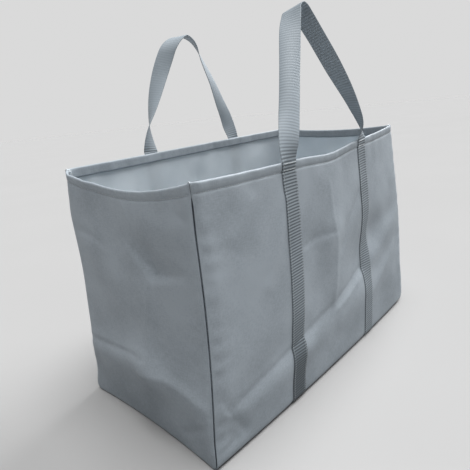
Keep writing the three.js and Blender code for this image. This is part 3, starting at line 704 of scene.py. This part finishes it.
def leg_path(half_span, handle):
    """Places of a handle leg in the plane of its loop, from rim to tip: across, up, turn, length."""
    angle = math.radians(handle.leg_angle)
    foot, tip = handle.foot_radius, handle.tip_radius
    straight = (half_span - foot * (1 - math.cos(angle)) - tip * math.cos(angle)) / math.sin(angle)
    path = []
    for turn in np.linspace(0, angle, FOOT_ROWS)[1:]:
        path.append((foot * (1 - math.cos(turn)), foot * math.sin(turn), turn, foot * turn))
    start = path[-1]
    for run in np.linspace(0, straight, LEG_ROWS)[1:]:
        across = start[0] + run * math.sin(angle)
        up = start[1] + run * math.cos(angle)
        path.append((across, up, angle, start[3] + run))
    start = path[-1]
    for turn in np.linspace(angle, math.pi / 2, TIP_ROWS)[1:]:
        across = start[0] + tip * (math.cos(angle) - math.cos(turn))
        up = start[1] + tip * (math.sin(turn) - math.sin(angle))
        path.append((across, up, turn, start[3] + tip * (turn - angle)))
    return path


def leg_at(rows, share):
    """A leg's table at a share of its length, on a smooth curve through the rows."""
    table = np.array(rows)
    places = table[:, 0]
    k = int(np.clip(np.searchsorted(places, share), 1, len(rows) - 1))

    def slope(row):
        before, after = max(row - 1, 0), min(row + 1, len(rows) - 1)
        return (table[after] - table[before]) / (places[after] - places[before])

    span = places[k] - places[k - 1]
    t = (share - places[k - 1]) / span
    bend = t * (1 - t) * span * (slope(k - 1) * (1 - t) - slope(k) * t)
    return Leg(*(table[k - 1] + (table[k] - table[k - 1]) * t * t * (3 - 2 * t) + bend))


def handle_loop(side, start, end, across):
    """Webbing of a handle loop between the middles of its two rim ends."""
    handle = HANDLES[side]
    out = WALLS[side].out[1]
    span = end - start
    towards_end = span / np.linalg.norm(span)
    lean = math.radians(handle.lean)
    rise = np.array([0, -out * math.sin(lean), math.cos(lean)])
    up = rise - towards_end * (rise @ towards_end)
    up /= np.linalg.norm(up)
    loop_out = np.cross(towards_end, up)
    path = leg_path(np.linalg.norm(span) / 2, handle)
    height, total = path[-1][1], path[-1][3]
    legs = []
    for origin, towards, direction in ((start, towards_end, 1), (end, -towards_end, -1)):
        name = (side, "left" if origin[0] < 0 else "right")
        leg = []
        for place_across, place_up, turn, length in path:
            share = place_up / height
            here = leg_at(LEGS[name], length / total)
            bow = out * (handle.bow * math.sin(math.pi * share) + here.outward)
            centre = origin + towards * place_across + up * place_up
            centre = centre + (handle.sway * share ** 2 + here.aside, bow, here.rise)
            heading = up * math.cos(turn) + towards * math.sin(turn)
            inside = towards * math.cos(turn) - up * math.sin(turn)
            twist = math.radians(here.turn)
            width = loop_out * math.cos(twist) + inside * math.sin(twist)
            outward = np.cross(width, heading) * direction
            cup = LEG_CUPS[name] * math.sin(math.pi * min(1, CUP_PACE * length / total))
            hollow = cup * (CUP_LEVEL - (across / WEBBING_WIDTH * 2) ** 2) - WEBBING_THICKNESS / 2
            narrowed = across * (1 - CUP_NARROWING * cup)
            leg.append((centre + narrowed[:, None] * width + hollow[:, None] * outward, outward))
        legs.append(leg)
    return legs[0] + legs[1][-2::-1]


def along_line(values, length, places):
    """The rows of values at places along a line, given the length at each row."""
    return np.stack([np.interp(places, length, values[:, k]) for k in range(3)], axis=-1)


def lengths(path):
    """How far along a path each of its points lies."""
    return np.concatenate([[0], np.cumsum(np.linalg.norm(np.diff(path, axis=0), axis=1))])


def make_webbing(side, material):
    """One length of webbing: up one run, round the handle loop and down the other run, with woven ribs."""
    half = WEBBING_WIDTH / 2
    across = WEBBING_COLUMNS * (half - EDGE_TURN)
    first = WALLS[side].out[1] * STRAP_PLACE
    runs = []
    for strap in (first, -first):
        rows = LEGS[side, "left" if strap < 0 else "right"]
        runs.append(strap_run(side, strap, across, turned_over=rows[0].turn < 0))
    (up_run, up_facing), (down_run, down_facing) = runs
    middle = len(across) // 2
    ends = [run[-1][middle] + facing[-1][middle] * WEBBING_THICKNESS / 2 for run, facing in runs]
    loop = handle_loop(side, *ends, across)
    under = np.concatenate([up_run, [points for points, _ in loop], down_run[::-1]])
    loop_facing = [np.repeat(outward[None, :], len(across), axis=0) for _, outward in loop]
    facing = np.concatenate([up_facing, loop_facing, down_facing[::-1]])
    length = lengths(under[:, middle])
    places = np.arange(0, length[-1], RIB_PITCH / RIB_ROWS)
    low, out = [
        np.stack([along_line(grid[:, k], length, places) for k in range(len(across))], axis=1)
        for grid in (under, facing)
    ]
    out /= np.linalg.norm(out, axis=2, keepdims=True)
    loop_start, loop_end = length[len(up_run) - 1], length[-len(down_run)]
    loose = ease(places, loop_start - LOOSE_BELOW, loop_start + LOOSE_ABOVE)
    loose = loose * ease(places, loop_end + LOOSE_BELOW, loop_end - LOOSE_ABOVE)
    sewn = 1 - (1 - LOOP_TIGHT[side]) * loose
    rib = (0.5 + 0.5 * np.cos(2 * math.pi * places / RIB_PITCH)) ** RIB_ROUND
    body = ease(half - np.abs(across), RIB_START, SELVAGE)
    deep = (LOOSE_RIB + (SEWN_RIB - LOOSE_RIB) * sewn)[:, None]
    relief = (rib[:, None] * body[None, :] + (1 - body[None, :]) * SELVAGE_LEVEL) * deep
    top = low + out * (WEBBING_THICKNESS - deep + relief)[..., None]
    bottom = low + out * (deep - relief)[..., None]
    sideways = low[:, -1] - low[:, 0]
    sideways /= np.linalg.norm(sideways, axis=1, keepdims=True)
    edge = (EDGE_OUT + EDGE_RIB * rib)[:, None] * sideways
    right = (top[:, -1] + bottom[:, -1]) / 2 + edge
    left = (top[:, 0] + bottom[:, 0]) / 2 - edge
    ring = np.concatenate([top, right[:, None], bottom[:, ::-1], left[:, None]], axis=1)
    around = ring.shape[1]
    flat_across = np.concatenate([across, [half], across[::-1], [-half]])
    flat = [(place, a) for place in places for a in flat_across]
    number = np.arange(len(places) * around).reshape(len(places), around)
    ahead = np.roll(number, -1, axis=1)
    faces = np.stack([number[:-1], number[1:], ahead[1:], ahead[:-1]], axis=-1).reshape(-1, 4)
    faces = [*faces, number[0], number[-1][::-1]]
    strap = finished_mesh(f"webbing_{side}_strap", ring.reshape(-1, 3), faces, flat, material)
    # Painted shade: each run is drawn darker towards the floor, and its ribs fainter there.
    low_shade = np.where(places < length[-1] / 2, LOW_SHADE[side][0], LOW_SHADE[side][1]) * sewn
    low_shade = low_shade * (1 - ease(low[:, middle, 2], *LOW_SHADE_FADE))
    for label, values in (("Sewn", sewn), ("LowShade", low_shade)):
        shading = strap.data.attributes.new(label, "FLOAT", "POINT")
        shading.data.foreach_set("value", np.repeat(values, around).astype(np.float32))
    return strap


def make_stitches(name, lines, stitch, material):
    """Rows of stitches: each line is a list of (point, outward) along a seam."""
    sides = len(STITCH_TURNS)
    points, faces, flat = [], [], []
    for line in lines:
        path = np.array([p for p, _ in line])
        facing = np.array([o for _, o in line], float)
        length = lengths(path)
        for start in np.arange(stitch.pitch / 2, length[-1] - stitch.long, stitch.pitch):
            head, tail = along_line(path, length, np.array([start, start + stitch.long]))
            out = along_line(facing, length, start)
            along = (tail - head) / np.linalg.norm(tail - head)
            side = np.cross(along, out)
            first = len(points)
            for share, swell in STITCH_FORM:
                centre = head + (tail - head) * share + out * stitch.thick * (0.5 * swell - STITCH_SINK)
                for turn in STITCH_TURNS:
                    offset = side * math.cos(turn) + out * math.sin(turn)
                    points.append(centre + offset * stitch.thick * STITCH_RADIUS * swell)
                    flat.append((start, share))
            for ring in range(first, len(points) - sides, sides):
                for k in range(sides):
                    here, ahead = ring + k, ring + (k + 1) % sides
                    faces.append((here, ahead, ahead + sides, here + sides))
            faces.append(range(first + sides - 1, first - 1, -1))
            faces.append(range(len(points) - sides, len(points)))
    return finished_mesh(name, points, faces, flat, material)


def hem_lines():
    """The stitch line of the hem, round all four walls."""
    lines = []
    w = 1 - HEM_SEWN / WALL_HEIGHT
    clear_of_seam = ROLL_REACH + 2
    for side, wall in WALLS.items():
        reach = 1 - clear_of_seam / wall.half
        points = wall_point(side, np.linspace(-reach, reach, 200), w)
        lines.append([(p, (*wall.out, 0)) for p in points])
    return lines


def strap_lines(side):
    """Two stitch lines up each strap of one wall, just inside its selvages and sunk in a little."""
    lines = []
    sunk = 0.1
    for strap in (-STRAP_PLACE, STRAP_PLACE):
        for edge in (-1, 1):
            across = np.array([edge * (WEBBING_WIDTH / 2 - SELVAGE)])
            under, facing = strap_run(side, strap, across)
            lift = facing[:, 0] * (WEBBING_THICKNESS - sunk)
            lines.append(list(zip(under[:, 0] + lift, facing[:, 0])))
    return lines


def rim_bars(side):
    """Two stitched bars across each strap where it leaves the rim."""
    lines = []
    sunk = 0.05
    reach = WEBBING_WIDTH / 2 - BAR_INSET
    across = np.linspace(-reach, reach, 15)
    for strap in (-STRAP_PLACE, STRAP_PLACE):
        under, facing = strap_run(side, strap, across)
        heights = under[:, len(across) // 2, 2]
        for drop in BAR_DROPS:
            row = int(np.argmin(np.abs(heights - (heights[-1] - drop))))
            points = under[row] + facing[row] * (WEBBING_THICKNESS - sunk)
            lines.append(list(zip(points, facing[row])))
    return lines


def linear(code):
    """Linear colour of an sRGB hex value."""
    channels = [int(code[k:k + 2], 16) / 255 for k in (1, 3, 5)]
    return (*[c / 12.92 if c <= 0.04045 else ((c + 0.055) / 1.055) ** 2.4 for c in channels], 1)


def add(tree, kind, inputs=(), **settings):
    """A shader node with its settings, its values and the links into it."""
    made = tree.nodes.new("ShaderNode" + kind)
    for key, value in settings.items():
        setattr(made, key, value)
    for key, value in dict(inputs).items():
        if isinstance(value, bpy.types.NodeSocket):
            tree.links.new(value, made.inputs[key])
        else:
            made.inputs[key].default_value = value
    return made


def new_material(name):
    """A material with an empty node tree, and that tree."""
    material = bpy.data.materials.new(name)
    material.use_nodes = True
    material.node_tree.nodes.clear()
    return material, material.node_tree


# A wave texture repeats every 0.314 of its scaled coordinate.
WAVE_PERIOD = 2 * math.pi / 20


def coated_polyester():
    """Coated woven polyester, calendered: even satin grey with a faint canvas grain and fine crinkles."""
    material, tree = new_material("coated_polyester")
    pattern = add(tree, "UVMap", uv_map="Pattern").outputs["UV"]
    # The real threads are about 0.5 mm apart. Their slubs are drawn 1.5 mm wide and 7 mm long, to show.
    slub_width, slub_length = 1.5 * MM, 7 * MM
    cloud_size, crinkle_size = 90 * MM, 28 * MM
    slubs = []
    for wide, long in ((slub_width, slub_length), (slub_length, slub_width)):
        stretched = add(tree, "VectorMath", {0: pattern, 1: (1 / wide, 1 / long, 0)}, operation="MULTIPLY")
        slubs.append(add(tree, "TexNoise", {"Vector": stretched.outputs[0], "Scale": 1.0, "Detail": 1.0}))
    grain = add(tree, "Math", {0: slubs[0].outputs["Fac"], 1: slubs[1].outputs["Fac"]}, operation="ADD")
    cloudy = add(tree, "TexNoise", {"Vector": pattern, "Scale": 1 / cloud_size, "Detail": 3.0})
    unshaded_tone = add(tree, "Math", {
        0: grain.outputs[0], 1: 0.4, 2: cloudy.outputs["Fac"],
    }, operation="MULTIPLY_ADD")
    # Painted shade: the lowest 120 mm is drawn a little darker.
    place = add(tree, "TexCoord").outputs["Object"]
    height = add(tree, "SeparateXYZ", {"Vector": place}).outputs["Z"]
    low_shade = add(tree, "MapRange", {
        "Value": height, "From Min": 40 * MM, "From Max": 120 * MM, "To Min": 0.2, "To Max": 0.0,
    }, interpolation_type="SMOOTHSTEP")
    tone = add(tree, "Math", {0: unshaded_tone.outputs[0], 1: low_shade.outputs["Result"]}, operation="SUBTRACT")
    colour = add(tree, "ValToRGB", {"Fac": tone.outputs[0]})
    colour.color_ramp.elements[0].position = 0.25
    colour.color_ramp.elements[0].color = linear("#60686e")
    colour.color_ramp.elements[1].color = linear("#868e95")
    crinkle = add(tree, "TexNoise", {
        "Vector": pattern, "Scale": 1 / crinkle_size, "Detail": 4.0, "Roughness": 0.55,
    })
    canvas = add(tree, "Bump", {"Height": grain.outputs[0], "Strength": 0.12, "Distance": 0.4 * MM})
    bump = add(tree, "Bump", {
        "Height": crinkle.outputs["Fac"], "Strength": 0.35, "Distance": 1.2 * MM,
        "Normal": canvas.outputs["Normal"],
    })
    gloss = add(tree, "MapRange", {"Value": crinkle.outputs["Fac"], "To Min": 0.55, "To Max": 0.7})
    surface = add(tree, "BsdfPrincipled", {
        "Base Color": colour.outputs["Color"], "Roughness": gloss.outputs["Result"],
        "Normal": bump.outputs["Normal"], "IOR": 1.48,
    })
    add(tree, "OutputMaterial", {"Surface": surface.outputs["BSDF"]})
    return material


def polyurethane_coating():
    """Polyurethane spread on the inner face: smoother than the woven side, and faintly mottled. Its pale
    grey is painted light, so that the inside of the bag looks lit.

    A wall with a light behind it glows a little, except where the hem doubles it.
    """
    material, tree = new_material("polyurethane_coating")
    pattern = add(tree, "UVMap", uv_map="Pattern").outputs["UV"]
    mottle_size, crinkle_size = 50 * MM, 30 * MM
    mottle = add(tree, "TexNoise", {"Vector": pattern, "Scale": 1 / mottle_size, "Detail": 3.0})
    # Painted light: the inner face is drawn paler than the cloth outside, so that the inside of the bag
    # looks lit.
    colour = add(tree, "ValToRGB", {"Fac": mottle.outputs["Fac"]})
    colour.color_ramp.elements[0].color = linear("#a2aab0")
    colour.color_ramp.elements[1].color = linear("#b6bdc2")
    crinkle = add(tree, "TexNoise", {"Vector": pattern, "Scale": 1 / crinkle_size, "Detail": 3.0})
    bump = add(tree, "Bump", {"Height": crinkle.outputs["Fac"], "Strength": 0.3, "Distance": 1.2 * MM})
    surface = add(tree, "BsdfPrincipled", {
        "Base Color": colour.outputs["Color"], "Roughness": 0.5, "IOR": 1.5,
        "Normal": bump.outputs["Normal"],
        "Subsurface Weight": 0.8, "Subsurface Radius": (1.0, 1.0, 1.0), "Subsurface Scale": 2 * MM,
    })
    add(tree, "OutputMaterial", {"Surface": surface.outputs["BSDF"]})
    return material


def ribbed_webbing():
    """Woven polypropylene webbing: slightly glossy ribs across it, with painted shade in its valleys,
    deepest where it is sewn; the sewn runs are also painted darker, most of all towards the floor.
    """
    material, tree = new_material("ribbed_polypropylene")
    pattern = add(tree, "UVMap", uv_map="Pattern").outputs["UV"]
    sewn = add(tree, "Attribute", attribute_name="Sewn").outputs["Fac"]
    ribs = add(tree, "TexWave", {
        "Vector": pattern, "Scale": WAVE_PERIOD / (RIB_PITCH * MM), "Phase Offset": math.pi,
    }, bands_direction="X")
    # Painted shade: the valleys between the ribs are drawn darker, more where the webbing is sewn.
    valley = add(tree, "MapRange", {
        "Value": ribs.outputs["Fac"], "From Min": 0.1, "From Max": 0.85, "To Min": 1.0, "To Max": 0.0,
    })
    clear = add(tree, "Math", {0: sewn, 1: 0.36, 2: 0.26}, operation="MULTIPLY_ADD")
    low_shade = add(tree, "Attribute", attribute_name="LowShade").outputs["Fac"]
    # Towards the floor the painted shade in the valleys is weaker, so that the ribs fade, and the whole
    # webbing is painted darker.
    depth = add(tree, "Math", {0: low_shade, 1: -0.35, 2: clear.outputs[0]}, operation="MULTIPLY_ADD")
    floor_shade = add(tree, "Math", {0: low_shade, 1: 0.6}, operation="MULTIPLY")
    shade = add(tree, "Math", {
        0: valley.outputs["Result"], 1: depth.outputs[0], 2: floor_shade.outputs[0],
    }, operation="MULTIPLY_ADD")
    cloud_size = 20 * MM
    cloudy = add(tree, "TexNoise", {"Vector": pattern, "Scale": 1 / cloud_size, "Detail": 3.0})
    mixed = add(tree, "Math", {
        0: cloudy.outputs["Fac"], 1: 0.16, 2: shade.outputs[0],
    }, operation="MULTIPLY_ADD")
    # Painted shade: sewn on the cloth, the webbing is drawn darker than in the loops, for the shade its
    # ribs cast.
    sewn_darkening = add(tree, "Math", {0: sewn, 1: 0.12, 2: mixed.outputs[0]}, operation="MULTIPLY_ADD")
    colour = add(tree, "ValToRGB", {"Fac": sewn_darkening.outputs[0]})
    colour.color_ramp.elements[0].color = linear("#868f96")
    colour.color_ramp.elements[1].color = linear("#343b40")
    # The real warp threads are about 0.8 mm apart. They are drawn at 2 mm so that they show.
    warp_pitch = 2 * MM
    threads = add(tree, "TexWave", {
        "Vector": pattern, "Scale": WAVE_PERIOD / warp_pitch, "Distortion": 0.6, "Detail": 1.0,
    }, bands_direction="Y")
    bump = add(tree, "Bump", {"Height": threads.outputs["Fac"], "Strength": 0.08, "Distance": 0.25 * MM})
    surface = add(tree, "BsdfPrincipled", {
        "Base Color": colour.outputs["Color"], "Roughness": 0.6, "IOR": 1.4,
        "Normal": bump.outputs["Normal"],
    })
    add(tree, "OutputMaterial", {"Surface": surface.outputs["BSDF"]})
    return material


def polyester_thread():
    """Twisted polyester sewing thread: a little paler and glossier than the cloth."""
    material, tree = new_material("polyester_thread")
    pattern = add(tree, "UVMap", uv_map="Pattern").outputs["UV"]
    # The real twist is under 1 mm long. It is drawn 4 mm long, as a change of tone from stitch to stitch.
    twist_length = 4 * MM
    twist = add(tree, "TexNoise", {"Vector": pattern, "Scale": 1 / twist_length, "Detail": 2.0})
    colour = add(tree, "ValToRGB", {"Fac": twist.outputs["Fac"]})
    colour.color_ramp.elements[0].color = linear("#9aa2a7")
    colour.color_ramp.elements[1].color = linear("#c4c9cc")
    surface = add(tree, "BsdfPrincipled", {
        "Base Color": colour.outputs["Color"], "Roughness": 0.5, "IOR": 1.5, "Sheen Weight": 0.1,
    })
    add(tree, "OutputMaterial", {"Surface": surface.outputs["BSDF"]})
    return material


def seamless_paper():
    """Matt grey-white backdrop paper: even and without gloss, pale under the overhead light."""
    material, tree = new_material("seamless_paper")
    place = add(tree, "TexCoord").outputs["Object"]
    # Single fibres are too fine to show. The paper's tone is drawn to change over 600 mm.
    tone_size = 600 * MM
    fibre = add(tree, "TexNoise", {"Vector": place, "Scale": 1 / tone_size, "Detail": 2.0})
    colour = add(tree, "ValToRGB", {"Fac": fibre.outputs["Fac"]})
    colour.color_ramp.elements[0].color = linear("#898989")
    colour.color_ramp.elements[1].color = linear("#8c8c8c")
    surface = add(tree, "BsdfPrincipled", {
        "Base Color": colour.outputs["Color"], "Roughness": 1.0, "Specular IOR Level": 0.0,
    })
    add(tree, "OutputMaterial", {"Surface": surface.outputs["BSDF"]})
    return material


def build_bag():
    """All pieces of the bag, with what each one stands for and is made of."""
    cloth = coated_polyester(), polyurethane_coating()
    webbing, thread = ribbed_webbing(), polyester_thread()
    main = make_main_panel(*cloth)
    ends = {side: make_end_panel(side, *cloth) for side in ("left", "right")}
    straps = {side: make_webbing(side, webbing) for side in ("front", "back")}
    hem = make_stitches("hem_stitches", hem_lines(), HEM_STITCH, thread)
    run_lines = strap_lines("front") + strap_lines("back")
    strap_edges = make_stitches("strap_stitches", run_lines, STRAP_STITCH, thread)
    bar_lines = rim_bars("front") + rim_bars("back")
    bars = make_stitches("rim_bar_stitches", bar_lines, BAR_STITCH, thread)
    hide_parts("main_panel")
    for side, end in ends.items():
        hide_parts(f"end_panel_{side}")
    for side, strap in straps.items():
        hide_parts(f"webbing_{side}")
    for piece in (main, *ends.values(), *straps.values(), hem, strap_edges, bars):
        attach(piece, "root")


def set_studio():
    """Seamless paper floor in a pale room, under a broad overhead light and one from the right."""
    bpy.ops.mesh.primitive_plane_add(size=FLOOR_SIZE, location=(0, 0, -FLOOR_DROP))
    floor = bpy.context.object
    floor.name = "floor"
    floor.data.materials.append(seamless_paper())
    world = bpy.data.worlds.new("studio_room")
    bpy.context.scene.world = world
    world.use_nodes = True
    tree = world.node_tree
    tree.nodes.clear()
    direction = add(tree, "TexCoord").outputs["Generated"]
    height = add(tree, "SeparateXYZ", {"Vector": direction}).outputs["Z"]
    glow = add(tree, "MapRange", {
        "Value": height, "From Min": 0.3, "From Max": 0.7, "To Min": 0.7, "To Max": 0.1,
    })
    room = add(tree, "Background", {"Color": linear("#ffffff"), "Strength": glow.outputs["Result"]})
    add(tree, "OutputWorld", {"Surface": room.outputs["Background"]})
    for name, (strength, place) in LIGHTS.items():
        lamp = bpy.data.lights.new(name, "SUN")
        lamp.energy = strength
        lamp.angle = math.radians(LIGHT_BREADTH)
        light = bpy.data.objects.new(name, lamp)
        light.location = place
        light.rotation_euler = (Vector(LIT_POINT) - light.location).to_track_quat("-Z", "Y").to_euler()
        bpy.context.scene.collection.objects.link(light)


def set_camera():
    """The camera, above the near corner of the bag, and plain display colours."""
    lens = bpy.data.cameras.new("camera")
    lens.sensor_width = FILM_WIDTH
    lens.lens = LENS
    camera = bpy.data.objects.new("camera", lens)
    turns = Euler([math.radians(turn) for turn in CAMERA_TURNS])
    camera.matrix_world = Matrix.LocRotScale(Vector(CAMERA_PLACE) * MM, turns, None)
    bpy.context.scene.collection.objects.link(camera)
    bpy.context.scene.camera = camera
    bpy.context.scene.view_settings.view_transform = "Standard"


set_camera()
set_studio()
build_bag()
